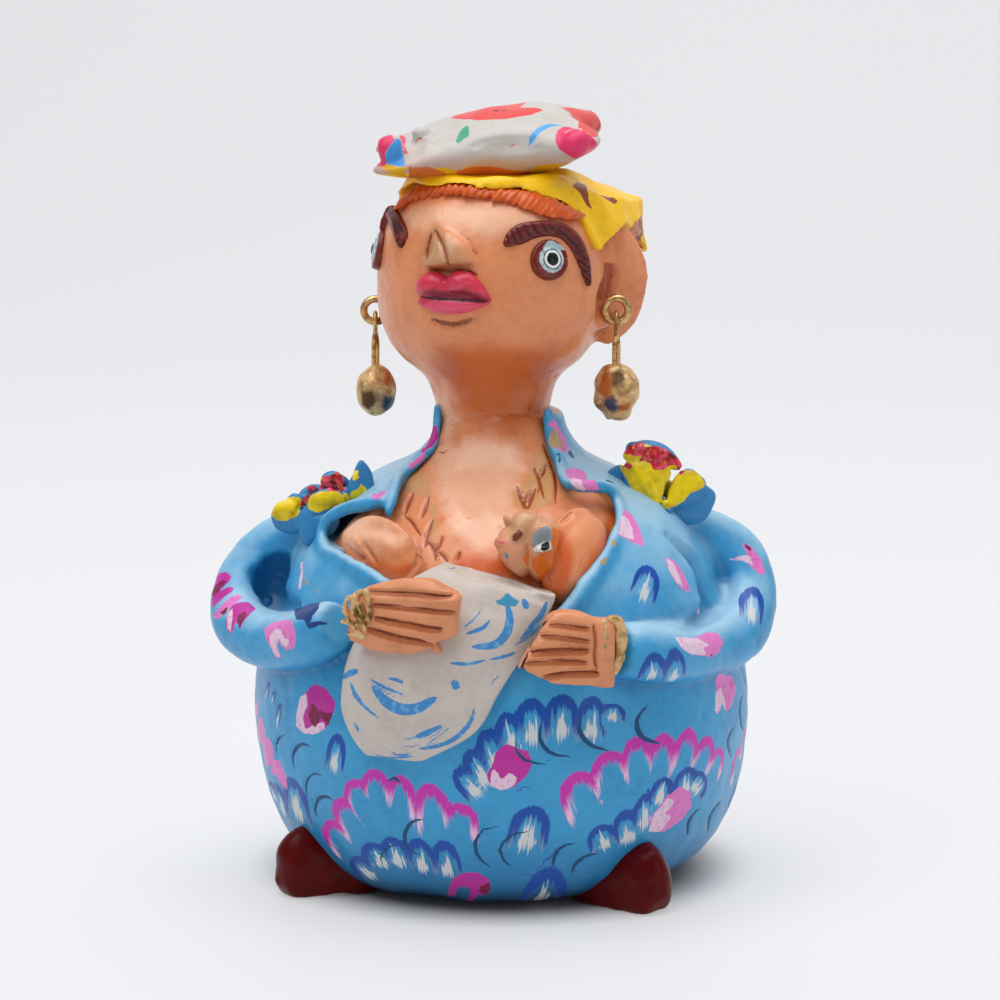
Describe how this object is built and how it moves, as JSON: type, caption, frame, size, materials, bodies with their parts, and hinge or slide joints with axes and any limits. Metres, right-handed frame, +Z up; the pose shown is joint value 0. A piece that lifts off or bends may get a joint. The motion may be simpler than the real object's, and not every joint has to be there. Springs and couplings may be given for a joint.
{
  "type": "clay folk figurine",
  "caption": "Hand-modelled painted clay figurine of a round woman in a blue flowered dress holding a baby in a white cloth wrap, with a cushion hat, scarf and hanging wire earrings",
  "frame": {"origin": "Centre of the flat underside, where the figurine stands on a table", "axes": "+Z up through the neck, front towards -Y, +X to the viewer's right when the figure is seen from the front"},
  "size_m": [0.1228, 0.1148, 0.1689],
  "materials": {
    "painted_clay": "fired clay, hand-painted in satin acrylic: blue dress with brushed flower fans, orange-tan skin, white cloth and hat, yellow scarf, dark red shoes",
    "gilt_wire": "thin wire, dull gilt, rubbed",
    "gold_painted_clay": "gold paint with worn orange and blue-grey patches, satin"
  },
  "bodies": {
    "root": {"figure": "painted_clay", "earring_hoop_left": "gilt_wire", "earring_hanger_left": "gilt_wire", "earring_bead_left": "gold_painted_clay", "earring_hoop_right": "gilt_wire", "earring_hanger_right": "gilt_wire", "earring_bead_right": "gold_painted_clay"}
  },
  "joints": []
}
